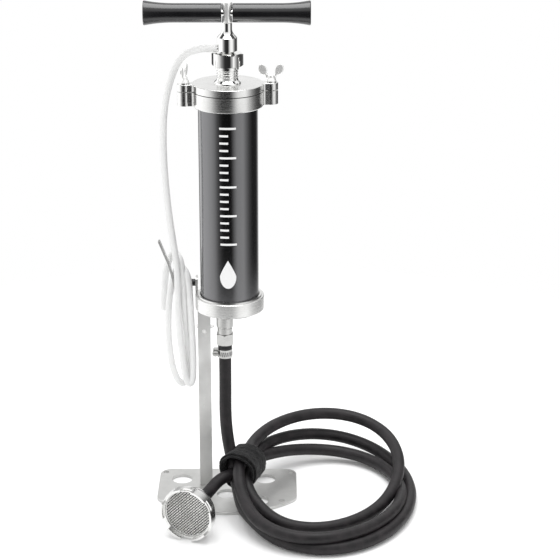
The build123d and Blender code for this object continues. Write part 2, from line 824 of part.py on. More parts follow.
# ---- Suction connection under the base cap ---------------------------------------------------
nipple_bottom = 208.0
coupling_bottom = 194.5
sleeve_bottom = 188.4
clamp_bottom = 178.2
inlet_plane = Plane(origin=(inlet_x, inlet_y, 0), x_dir=(1, 0, 0), z_dir=(0, -1, 0))
with BuildPart() as inlet_nipple:
    with BuildSketch(inlet_plane):
        with BuildLine():
            Polyline(
                (4.5, cap_bottom + base_floor),
                (inlet_bore_r - 0.05, cap_bottom + base_floor),
                (inlet_bore_r - 0.05, cap_bottom),
                (9.8, cap_bottom),
                (9.8, 217.0),
                (9.3, 216.2),
                (8.4, 216.2),
                (8.4, 215.0),
                (8.7, 214.6),
                (8.7, nipple_bottom),
                (4.5, nipple_bottom),
                close=True,
            )
        make_face()
    revolve(axis=Axis(origin=(inlet_x, inlet_y, 0), direction=(0, 0, 1)))
inlet_nipple.part.label = "inlet_nipple"
export_step(inlet_nipple.part, "parts/inlet_nipple.step")

with BuildPart() as coupling_nut:
    with BuildSketch(Plane.XY.offset(coupling_bottom)):
        with Locations((inlet_x, inlet_y)):
            RegularPolygon(11.1, 6, rotation=30)
    extrude(amount=nipple_bottom - coupling_bottom)
    with BuildSketch(inlet_plane):
        with BuildLine():
            Polyline(
                (0, coupling_bottom),
                (9.6, coupling_bottom),
                (11.2, coupling_bottom + 0.9),
                (11.2, nipple_bottom - 0.9),
                (9.6, nipple_bottom),
                (0, nipple_bottom),
                close=True,
            )
        make_face()
    revolve(axis=Axis(origin=(inlet_x, inlet_y, 0), direction=(0, 0, 1)), mode=Mode.INTERSECT)
    with BuildSketch(Plane.XY.offset(coupling_bottom + 4.0)):
        with Locations((inlet_x, inlet_y)):
            Circle(8.25)
    extrude(amount=nipple_bottom - coupling_bottom - 4.0, mode=Mode.SUBTRACT)
    with BuildSketch(Plane.XY.offset(coupling_bottom)):
        with Locations((inlet_x, inlet_y)):
            Circle(5.6)
    extrude(amount=4.0, mode=Mode.SUBTRACT)
coupling_nut.part.label = "coupling_nut"
export_step(coupling_nut.part, "parts/coupling_nut.step")

# The hose tail is a flanged tube held by the coupling nut and pushed into the hose.
with BuildPart() as hose_tail:
    with BuildSketch(inlet_plane):
        with BuildLine():
            Polyline(
                (3.6, nipple_bottom),
                (8.2, nipple_bottom),
                (8.2, coupling_bottom + 4.0),
                (5.5, coupling_bottom + 4.0),
                (5.5, sleeve_bottom),
                (4.9, clamp_bottom),
                (3.6, clamp_bottom),
                close=True,
            )
        make_face()
    revolve(axis=Axis(origin=(inlet_x, inlet_y, 0), direction=(0, 0, 1)))
hose_tail.part.label = "hose_tail"
export_step(hose_tail.part, "parts/hose_tail.step")

with BuildPart() as hose_sleeve:
    with BuildSketch(inlet_plane):
        with BuildLine():
            Polyline(
                (5.5, coupling_bottom),
                (8.0, coupling_bottom),
                (8.3, coupling_bottom - 2.6),
                (7.7, coupling_bottom - 3.2),
                (8.3, coupling_bottom - 3.8),
                (8.0, sleeve_bottom),
                (5.5, sleeve_bottom),
                close=True,
            )
        make_face()
    revolve(axis=Axis(origin=(inlet_x, inlet_y, 0), direction=(0, 0, 1)))
hose_sleeve.part.label = "hose_sleeve"
export_step(hose_sleeve.part, "parts/hose_sleeve.step")

band_r = 8.7
screw_center_x = inlet_x - band_r - 2.6
screw_center_z = (clamp_bottom + sleeve_bottom) / 2 + 0.6
# The band and the housing of its worm screw are one pressed piece.
with BuildPart() as clamp_band:
    with BuildSketch(Plane.XZ.offset(-inlet_y - 4.0)):
        with Locations((screw_center_x + 0.8, screw_center_z)):
            RectangleRounded(6.8, 8.4, 1.2)
    extrude(amount=8.0)
    with BuildSketch(Plane.XY.offset(clamp_bottom)):
        with Locations((inlet_x, inlet_y)):
            Circle(band_r)
    extrude(amount=sleeve_bottom - clamp_bottom)
    with BuildSketch(Plane.XZ.offset(-inlet_y - 5.0)):
        with Locations((screw_center_x, screw_center_z)):
            Circle(2.2)
    extrude(amount=10.0, mode=Mode.SUBTRACT)
    with BuildSketch(Plane.XY.offset(clamp_bottom - 1)):
        with Locations((inlet_x, inlet_y)):
            Circle(suction_r)
    extrude(amount=14, mode=Mode.SUBTRACT)
clamp_band.part.label = "clamp_band"
export_step(clamp_band.part, "parts/clamp_band.step")

with BuildPart() as clamp_screw:
    with BuildSketch(Plane.XZ.offset(-inlet_y - 5.0)):
        with Locations((screw_center_x, screw_center_z)):
            Circle(2.15)
    extrude(amount=9.0)
    with BuildSketch(Plane.XZ.offset(-inlet_y + 4.0)):
        with Locations((screw_center_x, screw_center_z)):
            Circle(3.6)
            Rectangle(7.4, 1.0, mode=Mode.SUBTRACT)
    extrude(amount=2.6)
clamp_screw.part.label = "clamp_screw"
export_step(clamp_screw.part, "parts/clamp_screw.step")

# ---- Suction hose ---------------------------------------------------------------------------
# The drop runs down from the clamp, passes behind the strap and joins the loops.
drop_route = [
    (inlet_x, inlet_y, sleeve_bottom),
    (inlet_x, inlet_y, 141),
    (-6.5, -4.5, 104),
    (-4, -8, 74),
    (2, -20, 49),
    (11, -41, 31),
]
drop_path, drop_radii = hose_path(drop_route)
with BuildPart() as suction_hose_drop:
    with BuildSketch(Plane(origin=drop_path @ 0, z_dir=drop_path % 0)):
        Circle(suction_r)
    sweep(path=drop_path)
suction_hose_drop.part.label = "suction_hose_drop"
export_step(suction_hose_drop.part, "parts/suction_hose_drop.step")
report_hose("drop", drop_path, drop_radii, suction_r, suction_hose_drop.part.volume)

# The outer shape of the three loose loops: a ring on the floor, higher towards its back left,
# which rises over the foot plate to the strap.
coil_outside = [
    (-3, -60), (-1, -100), (12, -125), (45, -160), (75, -176), (102, -182), (128, -182),
    (152, -172), (180, -152), (204, -125), (218, -92), (225, -53), (228, -16), (227, 30),
    (218, 68), (206, 95), (186, 114), (160, 130), (133, 131), (110, 127), (86, 113),
    (60, 92), (40, 62), (25, 30), (8, 0), (-5, -30),
]
coil_hole = [
    (50, -70), (50, 5), (62, 50), (84, 80), (123, 94), (165, 68),
    (186, 40), (186, -30), (158, -80), (110, -104), (70, -100),
]
with BuildPart() as suction_hose_coil:
    with BuildSketch(Plane.XY):
        with BuildSketch(mode=Mode.PRIVATE) as around:
            Polygon(*coil_outside, align=None)
            fillet(around.vertices(), radius=6)
        with BuildSketch(mode=Mode.PRIVATE) as middle:
            Polygon(*coil_hole, align=None)
            fillet(middle.vertices(), radius=12)
        add(around.sketch)
        add(middle.sketch, mode=Mode.SUBTRACT)
    extrude(amount=70)
    with BuildSketch(Plane.XY):
        with Locations((plate_center_x, (plate_front + plate_back) / 2)):
            Rectangle(plate_width + 2, plate_back - plate_front + 2)
    extrude(amount=plate_thick + 1, mode=Mode.SUBTRACT)
    slope = Plane(origin=(0, 0, 60), z_dir=(0.12, -0.108, 1))
    split(bisect_by=slope, keep=Keep.BOTTOM)
suction_hose_coil.part.label = "suction_hose_coil"
export_step(suction_hose_coil.part, "parts/suction_hose_coil.step")

# The hook-and-loop strap is a short open sleeve around the bundle, wider at its mouth.
strap_center = Vector(15, -27, 45)
strap_axis = Vector(26, 55, 3).normalized()
strap_length = 32.0
strap_mouth_r = 22.0
strap_back_r = 19.5
strap_wall = 2.6
with BuildPart() as coil_strap:
    with BuildSketch(Plane(origin=strap_center - strap_axis * strap_length / 2, z_dir=strap_axis)):
        Circle(strap_mouth_r)
    with BuildSketch(Plane(origin=strap_center + strap_axis * strap_length / 2, z_dir=strap_axis)):
        Circle(strap_back_r)
    loft()
    with BuildSketch(Plane(origin=strap_center - strap_axis * strap_length / 2, z_dir=strap_axis)):
        Circle(strap_back_r - strap_wall)
    extrude(amount=strap_length, mode=Mode.SUBTRACT)
coil_strap.part.label = "coil_strap"
export_step(coil_strap.part, "parts/coil_strap.step")

# ---- Strainer on the end of the suction hose -------------------------------------------------
# It lies on the edge of its round rim, with the mesh facing forwards and a little to the left.
rim_r = 32.0
strainer_axis = Vector(-0.361, -0.9325, 0).normalized()
mesh_center = Vector(-46, -122, rim_r + 0.2)
side_dir = Vector(0, 0, 1).cross(strainer_axis)
strainer_section = Plane(origin=mesh_center, x_dir=(0, 0, 1), z_dir=side_dir)
strainer_line = Axis(origin=mesh_center, direction=strainer_axis)
hose_end = -38.0


def strainer_plane(along):
    """Plane across the strainer's axis, at a distance in front of the mesh."""
    return Plane(origin=mesh_center + strainer_axis * along, z_dir=strainer_axis)


with BuildPart() as strainer_stem:
    with BuildSketch(strainer_section):
        with BuildLine():
            Polyline(
                (3.4, hose_end - 14),
                (4.6, hose_end - 14),
                (5.2, hose_end),
                (8.6, hose_end),
                (8.6, hose_end + 5),
                (3.4, hose_end + 5),
                close=True,
            )
        make_face()
    revolve(axis=strainer_line)
strainer_stem.part.label = "strainer_stem"
export_step(strainer_stem.part, "parts/strainer_stem.step")

shell = 1.4
shoulder = [(8.6, hose_end + 5), (11.5, hose_end + 8), (20.0, -22.0), (27.5, -13.0), (29.6, -6.0)]
with BuildPart() as strainer_bell:
    with BuildSketch(strainer_section):
        with BuildLine():
            Spline(*shoulder, tangents=[(1, 0.2), (0.1, 1)])
            Polyline(
                (29.6, -6.0),
                (29.6, 4.0),
                (29.6 - shell, 4.0),
                (29.6 - shell, -6.0),
            )
            Spline(
                (29.6 - shell, -6.0),
                (26.2, -12.4),
                (19.0, -20.8),
                (11.0, hose_end + 9.3),
                (3.4, hose_end + 6.4),
            )
            Polyline((3.4, hose_end + 6.4), (3.4, hose_end + 5), (8.6, hose_end + 5))
        make_face()
    revolve(axis=strainer_line)
strainer_bell.part.label = "strainer_bell"
export_step(strainer_bell.part, "parts/strainer_bell.step")

rim_front = 9.0
notch_count = 6
with BuildPart() as strainer_rim:
    with BuildSketch(strainer_plane(-3)):
        Circle(rim_r)
        Circle(29.65, mode=Mode.SUBTRACT)
    extrude(amount=rim_front + 3)
    with BuildSketch(strainer_plane(3)):
        with PolarLocations(rim_r, notch_count, start_angle=30):
            Rectangle(8, 13)
    extrude(amount=rim_front, mode=Mode.SUBTRACT)
strainer_rim.part.label = "strainer_rim"
export_step(strainer_rim.part, "parts/strainer_rim.step")

with BuildPart() as strainer_mesh:
    with BuildSketch(strainer_plane(-0.6)):
        Circle(29.6 - shell - 0.05)
    extrude(amount=1.2)
    with BuildSketch(strainer_plane(0.6)):
        Circle(29.6 - shell - 0.05)
        Circle(26.4, mode=Mode.SUBTRACT)
    extrude(amount=1.6)
strainer_mesh.part.label = "strainer_mesh"
export_step(strainer_mesh.part, "parts/strainer_mesh.step")

# The tail of the suction hose runs from inside the strap down to the strainer.
stem_end = mesh_center + strainer_axis * hose_end
tail_route = [
    (-3, -38, 43),
    (-15, -52, 38),
    stem_end - strainer_axis * 20,
    stem_end,
]
tail_path, tail_radii = hose_path(tail_route)
with BuildPart() as suction_hose_tail:
    with BuildSketch(Plane(origin=tail_path @ 0, z_dir=tail_path % 0)):
        Circle(suction_r)
    sweep(path=tail_path)
suction_hose_tail.part.label = "suction_hose_tail"
export_step(suction_hose_tail.part, "parts/suction_hose_tail.step")
report_hose("tail", tail_path, tail_radii, suction_r, suction_hose_tail.part.volume)

# ---- Outlet hose ----------------------------------------------------------------------------
# The riser leaves the head to the left, bends over the lug and runs down beside the barrel.
riser_route = [
    (-head_r - 0.1, 0, outlet_z),
    (-30.5, 1.2, 546),
    (-51, 15, 537),
    (-64.5, 24, 511),
    (-74, 18, 473),
    (-75, 11, 420),
    (-71.8, 8.5, 370),
    (-67.3, 9.5, 328),
    (-61.5, 10.5, 287),
]
riser_path, riser_radii = hose_path(riser_route)
with BuildPart() as outlet_hose_riser:
    with BuildSketch(Plane(origin=riser_path @ 0, z_dir=riser_path % 0)):
        Circle(outlet_hose_r)
    sweep(path=riser_path)
outlet_hose_riser.part.label = "outlet_hose_riser"
export_step(outlet_hose_riser.part, "parts/outlet_hose_riser.step")
report_hose("riser", riser_path, riser_radii, outlet_hose_r, outlet_hose_riser.part.volume)

# The hank is a flat bundle of three strands in front of the hook, and an outer strand that
# bows out to the left and comes back to the bundle at both ends, also in front of the hook.
hank_front_y = 5.0
hank_depth = 10.6
hank_outline = [
    (-66, 287), (-47, 287), (-42.0, 262), (-42.0, 215), (-42.0, 165), (-43.5, 142),
    (-47, 132), (-53, 132), (-59, 150), (-61.5, 170), (-65, 200), (-66, 240), (-64, 262),
]
outer_y = 12.4
outer_strand = [
    (-51, 10.5, 136),
    (-60, 11.5, 136.5),
    (-68, outer_y, 152),
    (-73, outer_y, 177),
    (-74.5, outer_y, 205),
    (-73.5, outer_y, 233),
    (-70.5, outer_y, 257),
    (-66, outer_y, 272),
    (-58.5, 11.5, 278.5),
    (-51.5, 10.5, 272),
    (-50, 10.5, 257),
]
hank_plane = Plane(origin=(0, hank_front_y, 0), x_dir=(1, 0, 0), z_dir=(0, -1, 0))
outer_path, outer_radii = hose_path(outer_strand)
with BuildPart() as outlet_hose_hank:
    with BuildSketch(hank_plane) as bundle:
        Polygon(*hank_outline, align=None)
        fillet(bundle.vertices(), radius=3)
    extrude(amount=-hank_depth)
    with BuildSketch(Plane(origin=outer_path @ 0, z_dir=outer_path % 0)):
        Circle(outlet_hose_r)
    sweep(path=outer_path)
outlet_hose_hank.part.label = "outlet_hose_hank"
export_step(outlet_hose_hank.part, "parts/outlet_hose_hank.step")
print("outer strand radii", [round(r, 1) for r in outer_radii])

# The free end passes over the hook and hangs behind its arm.
end_route = [
    (-56, 10.5, 270),
    (-56.5, 12, 284),
    (-59, 17, 294),
    (-64, 24.5, 298),
    (-69.5, 31.5, 293),
    (-74, 36.5, 281),
    (-77.5, 38.5, 264),
    (-79.5, 38, 244),
    (-80, 36, 222),
]
end_path, end_radii = hose_path(end_route)
with BuildPart() as outlet_hose_end:
    with BuildSketch(Plane(origin=end_path @ 0, z_dir=end_path % 0)):
        Circle(outlet_hose_r)
    sweep(path=end_path)
outlet_hose_end.part.label = "outlet_hose_end"
export_step(outlet_hose_end.part, "parts/outlet_hose_end.step")
report_hose("end", end_path, end_radii, outlet_hose_r, outlet_hose_end.part.volume)
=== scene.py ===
from math import cos, pi, radians, sin, sqrt

import bmesh
import bpy
from mathutils import Matrix, Vector, noise


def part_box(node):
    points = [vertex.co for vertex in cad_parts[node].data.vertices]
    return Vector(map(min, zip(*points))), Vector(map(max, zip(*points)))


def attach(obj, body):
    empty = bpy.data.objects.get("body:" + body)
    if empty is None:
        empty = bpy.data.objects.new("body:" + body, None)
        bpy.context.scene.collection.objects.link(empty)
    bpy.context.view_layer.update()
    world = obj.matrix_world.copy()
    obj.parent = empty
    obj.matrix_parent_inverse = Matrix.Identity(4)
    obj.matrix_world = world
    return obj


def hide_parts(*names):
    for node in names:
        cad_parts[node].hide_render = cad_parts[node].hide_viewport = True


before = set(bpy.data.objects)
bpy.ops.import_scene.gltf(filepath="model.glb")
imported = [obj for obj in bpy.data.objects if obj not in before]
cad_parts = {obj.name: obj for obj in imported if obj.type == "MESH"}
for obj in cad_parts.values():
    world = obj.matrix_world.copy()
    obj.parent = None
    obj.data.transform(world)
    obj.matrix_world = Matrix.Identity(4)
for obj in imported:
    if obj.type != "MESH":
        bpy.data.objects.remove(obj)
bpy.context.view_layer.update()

X, Y, Z = Vector((1, 0, 0)), Vector((0, 1, 0)), Vector((0, 0, 1))


def add_node(tree, kind, inputs, **values):
    """Adds a node; each input is either a socket to link from or a plain value."""
    made = tree.nodes.new(kind)
    for key, value in values.items():
        setattr(made, key, value)
    for socket, value in inputs.items():
        if isinstance(value, bpy.types.NodeSocket):
            tree.links.new(value, made.inputs[socket])
        else:
            made.inputs[socket].default_value = value
    return made


# ---- Camera, floor and light ----------------------------------------------------------------
def add_camera():
    """The view from a little above, two metres in front, with a long lens."""
    camera = bpy.data.objects.new("camera", bpy.data.cameras.new("camera"))
    camera.location = (0.0588, -2.0, 0.9806)
    camera.rotation_euler = (radians(70.5), 0, 0)
    camera.data.sensor_width = 36.0
    camera.data.lens = 116.9
    bpy.context.scene.collection.objects.link(camera)
    bpy.context.scene.camera = camera


def add_floor():
    """A plain pale disc whose rim fades away, so that no edge shows against the background."""
    floor = turned("floor", [(0.0, 0.0), (0.35, 0.0), (0.9, 0.0)], 96)
    paint = Shader("floor_paint", (0.94, 0.94, 0.94), 0.8)
    reach = paint.node("ShaderNodeVectorMath", {0: paint.place}, operation="LENGTH").outputs["Value"]
    fade = paint.between(reach, 0.45, 0.85, 1.0, 0.0)
    paint.drive("Alpha", fade)
    floor.data.materials.append(paint.material)
    floor.location.z = -0.0002


# Brightness of the studio walls seen from the object, by direction in degrees: 0 is the
# front, positive to the right. Dark gaps between the light panels draw the edges of the steel.
WALL = [
    (-180, 1.0), (-169, 0.9), (-163, 0.08), (-155, 0.08), (-147, 1.45), (-90, 1.4), (-66, 1.1),
    (-52, 0.75), (-42, 0.32), (-30, 0.12), (-20, 0.03), (12, 0.02), (22, 0.45), (34, 0.95),
    (60, 1.1), (74, 0.6), (90, 0.22), (106, 0.06), (136, 0.06), (150, 0.35), (166, 1.0), (180, 1.0),
]


def add_studio():
    """White walls with dark gaps, a white ceiling and one wide soft light overhead."""
    world = bpy.data.worlds.new("studio")
    bpy.context.scene.world = world
    world.use_nodes = True
    tree = world.node_tree
    tree.nodes.clear()

    def node(kind, inputs, **values):
        return add_node(tree, kind, inputs, **values)

    direction = node("ShaderNodeTexCoord", {}).outputs["Generated"]
    split = node("ShaderNodeSeparateXYZ", {0: direction}).outputs
    front = node("ShaderNodeMath", {0: split["Y"], 1: -1.0}, operation="MULTIPLY").outputs[0]
    angle = node("ShaderNodeMath", {0: split["X"], 1: front}, operation="ARCTAN2").outputs[0]
    share = node("ShaderNodeMapRange", {"Value": angle, "From Min": -pi, "From Max": pi}).outputs[0]
    wall = node("ShaderNodeValToRGB", {0: share})
    wall.color_ramp.elements[0].position = 0.0
    wall.color_ramp.elements[1].position = 1.0
    for _ in WALL[2:]:
        wall.color_ramp.elements.new(0.5)
    for element, (degrees, level) in zip(wall.color_ramp.elements, WALL):
        element.position = (degrees + 180) / 360
        element.color = (level, level, level, 1)
    up = node(
        "ShaderNodeMapRange",
        {"Value": split["Z"], "From Min": 0.30, "From Max": 0.62},
        interpolation_type="SMOOTHSTEP",
    ).outputs[0]
    white = (1.0, 1.0, 1.0, 1.0)
    dome = node("ShaderNodeMix", {0: up, 6: wall.outputs[0], 7: white}, data_type="RGBA").outputs[2]
    path = node("ShaderNodeLightPath", {}).outputs
    seen = node(
        "ShaderNodeMath", {0: path["Is Camera Ray"], 1: path["Is Diffuse Ray"]}, operation="MAXIMUM"
    ).outputs[0]
    shown = node("ShaderNodeMix", {0: seen, 6: dome, 7: white}, data_type="RGBA").outputs[2]
    background = node("ShaderNodeBackground", {"Color": shown, "Strength": 1.0})
    node("ShaderNodeOutputWorld", {"Surface": background.outputs[0]})

    ceiling = bpy.data.objects.new("ceiling_light", bpy.data.lights.new("ceiling_light", "AREA"))
    ceiling.data.shape = "SQUARE"
    ceiling.data.size = 1.1
    ceiling.data.energy = 17.0
    ceiling.location = (0.05, 0.05, 1.65)
    bpy.context.scene.collection.objects.link(ceiling)
    bpy.context.scene.view_settings.view_transform = "Standard"


# ---- Mesh helpers ---------------------------------------------------------------------------
def new_piece(name, vertices, faces, smooth=True):
    mesh = bpy.data.meshes.new(name)
    mesh.from_pydata([tuple(v) for v in vertices], [], faces)
    mesh.update()
    mesh.polygons.foreach_set("use_smooth", [smooth] * len(mesh.polygons))
    piece = bpy.data.objects.new(name, mesh)
    bpy.context.scene.collection.objects.link(piece)
    return piece


def turned(name, profile, segments, close=False):
    """A profile of (radius, height) points turned about Z; close joins its last point to its first."""
    vertices, faces = [], []
    for radius, height in profile:
        for k in range(segments):
            turn = 2 * pi * k / segments
            vertices.append((radius * cos(turn), radius * sin(turn), height))
    count = len(profile)
    for row in range(count if close else count - 1):
        after = (row + 1) % count
        for k in range(segments):
            beside = (k + 1) % segments
            faces.append(
                (
                    row * segments + k,
                    row * segments + beside,
                    after * segments + beside,
                    after * segments + k,
                )
            )
    piece = new_piece(name, vertices, faces)
    edit = bmesh.new()
    edit.from_mesh(piece.data)
    bmesh.ops.remove_doubles(edit, verts=edit.verts, dist=1e-7)
    bmesh.ops.recalc_face_normals(edit, faces=edit.faces)
    edit.to_mesh(piece.data)
    edit.free()
    return piece


def tube(points, radius, sides):
    """Vertices and faces of a capped round tube that follows points."""
    vertices, faces = [], []
    across = None
    for k, point in enumerate(points):
        ahead = points[min(k + 1, len(points) - 1)]
        behind = points[max(k - 1, 0)]
        along = (ahead - behind).normalized()
        if across is None:
            across = along.orthogonal().normalized()
        across = (across - along * across.dot(along)).normalized()
        other = along.cross(across)
        for side in range(sides):
            turn = 2 * pi * side / sides
            vertices.append(point + (across * cos(turn) + other * sin(turn)) * radius)
    for k in range(len(points) - 1):
        for side in range(sides):
            beside = (side + 1) % sides
            low, high = k * sides, (k + 1) * sides
            faces.append((low + side, low + beside, high + beside, high + side))
    faces.append(tuple(reversed(range(sides))))
    faces.append(tuple(range((len(points) - 1) * sides, len(points) * sides)))
    return vertices, faces


def joined(name, parts, smooth=True):
    """One piece from a list of (vertices, faces)."""
    vertices, faces = [], []
    for more_vertices, more_faces in parts:
        start = len(vertices)
        vertices += more_vertices
        faces += [tuple(start + i for i in face) for face in more_faces]
    return new_piece(name, vertices, faces, smooth)


def place(piece, origin, z_axis, x_axis):
    """Moves a piece's own mesh from the origin to a place in the row frame."""
    z_axis = z_axis.normalized()
    x_axis = (x_axis - z_axis * x_axis.dot(z_axis)).normalized()
    y_axis = z_axis.cross(x_axis)
    turn = Matrix((x_axis, y_axis, z_axis)).transposed().to_4x4()
    piece.data.transform(Matrix.Translation(origin) @ turn)
    return piece


def apply_modifiers(piece):
    """Keeps what the modifiers make as the piece's own mesh."""
    bpy.context.view_layer.update()
    seen = piece.evaluated_get(bpy.context.evaluated_depsgraph_get())
    made = bpy.data.meshes.new_from_object(seen)
    piece.modifiers.clear()
    piece.data = made
    made.name = piece.name


# ---- Materials ------------------------------------------------------------------------------
class Shader:
    """A Principled material, and short ways to add the nodes that feed it."""

    def __init__(self, name, color, roughness, metallic=0.0, **sockets):
        self.material = bpy.data.materials.new(name)
        self.material.use_nodes = True
        self.tree = self.material.node_tree
        self.shader = self.tree.nodes["Principled BSDF"]
        self.shader.inputs["Base Color"].default_value = (*color, 1)
        self.shader.inputs["Roughness"].default_value = roughness
        self.shader.inputs["Metallic"].default_value = metallic
        for socket, value in sockets.items():
            self.shader.inputs[socket.replace("_", " ")].default_value = value
        self.place = self.tree.nodes.new("ShaderNodeTexCoord").outputs["Object"]

    def node(self, kind, inputs, **values):
        return add_node(self.tree, kind, inputs, **values)

    def drive(self, socket, value):
        self.tree.links.new(value, self.shader.inputs[socket])

    def grain(self, stretch, detail=3.0, roughness=0.5):
        """Noise from 0 to 1 with so many cells a metre along X, Y and Z."""
        scaled = self.node("ShaderNodeMapping", {"Vector": self.place, "Scale": stretch}).outputs[0]
        return self.node(
            "ShaderNodeTexNoise",
            {"Vector": scaled, "Scale": 1.0, "Detail": detail, "Roughness": roughness},
        ).outputs["Fac"]

    def between(self, value, low, high, start, end):
        """Maps value from low..high to start..end."""
        return self.node(
            "ShaderNodeMapRange",
            {"Value": value, "From Min": low, "From Max": high, "To Min": start, "To Max": end},
        ).outputs[0]

    def blend(self, share, first, second):
        return self.node(
            "ShaderNodeMix",
            {0: share, 6: (*first, 1), 7: (*second, 1)},
            data_type="RGBA",
        ).outputs[2]

    def bump(self, height, strength, distance, normal=None):
        inputs = {"Height": height, "Strength": strength, "Distance": distance}
        if normal is not None:
            inputs["Normal"] = normal
        made = self.node("ShaderNodeBump", inputs).outputs[0]
        self.drive("Normal", made)
        return made


def grey(level, warmth):
    """A grey that lacks a little blue."""
    return (level, level, level - warmth)


def steel(name, level, darker, roughness, lines, line_depth, spread, metallic=1.0, warmth=0.01):
    """Bare steel: tool lines along one way, cloudy polish, and a few specks."""
    look = Shader(name, grey(level, warmth), roughness, metallic=metallic)
    tool = look.grain(lines, detail=4.0)
    cloud = look.grain((45, 45, 45), detail=4.0)
    speck = look.grain((900, 900, 900), detail=2.0)
    worn = look.between(cloud, 0.35, 0.7, 0.0, 1.0)
    look.drive("Base Color", look.blend(worn, grey(level, warmth), grey(darker, warmth)))
    streaks = look.between(tool, 0.3, 0.7, -spread, spread)
    patches = look.between(cloud, 0.3, 0.7, roughness * 0.85, roughness * 1.2)
    rough = look.node("ShaderNodeMath", {0: streaks, 1: patches}, operation="ADD").outputs[0]
    look.drive("Roughness", rough)
    first = look.bump(tool, 0.35, line_depth)
    look.bump(speck, 0.12, line_depth, first)
    return look.material


def crown_facets(material):
    """Shades a nut's upright flats mostly as a round body, so that they catch the light evenly."""
    tree = material.node_tree
    shader = tree.nodes["Principled BSDF"]

    def node(kind, inputs, **values):
        return add_node(tree, kind, inputs, **values)

    place = tree.nodes.new("ShaderNodeTexCoord").outputs["Object"]
    bent = shader.inputs["Normal"].links[0].from_socket
    flat = node("ShaderNodeVectorMath", {0: place, 1: (1, 1, 0)}, operation="MULTIPLY").outputs[0]
    outward = node("ShaderNodeVectorMath", {0: flat}, operation="NORMALIZE").outputs[0]
    steep = node("ShaderNodeSeparateXYZ", {0: bent}).outputs["Z"]
    upright = node("ShaderNodeMath", {0: steep}, operation="ABSOLUTE").outputs[0]
    share = node(
        "ShaderNodeMapRange",
        {"Value": upright, "From Min": 0.3, "From Max": 0.7, "To Min": 0.75, "To Max": 0.0},
    ).outputs[0]
    mixed = node("ShaderNodeMix", {0: share, 4: bent, 5: outward}, data_type="VECTOR").outputs[1]
    normal = node("ShaderNodeVectorMath", {0: mixed}, operation="NORMALIZE").outputs[0]
    tree.links.new(normal, shader.inputs["Normal"])


def barrel_enamel():
    """Dark baked enamel on the steel tube, smooth and deep, with a faint orange-peel skin."""
    look = Shader("barrel_enamel", (0.16, 0.16, 0.165), 0.15, metallic=1.0)
    skin = look.grain((260, 260, 260), detail=2.0)
    cloud = look.grain((18, 18, 9), detail=3.0)
    look.drive("Base Color", look.blend(cloud, (0.195, 0.195, 0.20), (0.17, 0.17, 0.175)))
    look.drive("Roughness", look.between(cloud, 0.3, 0.7, 0.13, 0.18))
    look.bump(skin, 0.05, 0.0002)
    return look.material


def grip_plastic():
    look = Shader("grip_moulding", (0.006, 0.006, 0.007), 0.2, Specular_IOR_Level=0.7)
    pebble = look.grain((1500, 1500, 1500), detail=3.0)
    wear = look.grain((60, 60, 60), detail=4.0)
    look.drive("Base Color", look.blend(wear, (0.004, 0.004, 0.005), (0.010, 0.010, 0.011)))
    look.drive("Roughness", look.between(wear, 0.3, 0.7, 0.17, 0.25))
    look.bump(pebble, 0.12, 0.0001)
    return look.material


def hose_rubber():
    """Charcoal rubber with a wrapped-cloth print, rubbed paler in places."""
    look = Shader("suction_hose_rubber", (0.014, 0.012, 0.013), 0.46, Specular_IOR_Level=0.32)
    cloud = look.grain((70, 70, 70), detail=5.0, roughness=0.6)
    cloth = look.grain((2400, 2400, 2400), detail=2.0)
    dust = look.grain((700, 700, 700), detail=2.0)
    rubbed = look.between(cloud, 0.4, 0.75, 0.0, 1.0)
    look.drive("Base Color", look.blend(rubbed, (0.009, 0.008, 0.009), (0.026, 0.022, 0.024)))
    rough = look.node(
        "ShaderNodeMath",
        {0: look.between(cloud, 0.3, 0.7, 0.38, 0.56), 1: look.between(dust, 0.45, 0.7, 0.0, 0.14)},
        operation="ADD",
    ).outputs[0]
    look.drive("Roughness", rough)
    first = look.bump(cloth, 0.25, 0.00012)
    look.bump(cloud, 0.15, 0.0004, first)
    return look.material


def seal_rubber():
    look = Shader("seal_rubber", (0.014, 0.014, 0.015), 0.5)
    cloud = look.grain((300, 300, 300))
    look.drive("Roughness", look.between(cloud, 0.3, 0.7, 0.42, 0.62))
    look.drive("Base Color", look.blend(cloud, (0.010, 0.010, 0.011), (0.022, 0.022, 0.023)))
    look.bump(cloud, 0.2, 0.0001)
    return look.material


def black_oxide():
    look = Shader("black_oxide", (0.03, 0.03, 0.032), 0.38, metallic=0.6)
    cloud = look.grain((500, 500, 500))
    look.drive("Roughness", look.between(cloud, 0.3, 0.7, 0.28, 0.5))
    look.drive("Base Color", look.blend(cloud, (0.02, 0.02, 0.022), (0.05, 0.05, 0.052)))
    look.bump(cloud, 0.2, 0.00005)
    return look.material


def milky_hose():
    """Soft milky tube wall: what is behind it shows faintly."""
    look = Shader("outlet_hose_silicone", (0.86, 0.86, 0.85), 0.32)
    cloud = look.grain((60, 60, 60), detail=3.0)
    bloom = look.grain((600, 600, 600), detail=2.0)
    look.drive("Base Color", look.blend(cloud, (0.90, 0.90, 0.895), (0.84, 0.845, 0.84)))
    look.drive("Roughness", look.between(bloom, 0.3, 0.7, 0.26, 0.42))
    look.drive("Alpha", look.between(cloud, 0.3, 0.7, 0.82, 0.90))
    look.bump(bloom, 0.06, 0.0001)
    return look.material


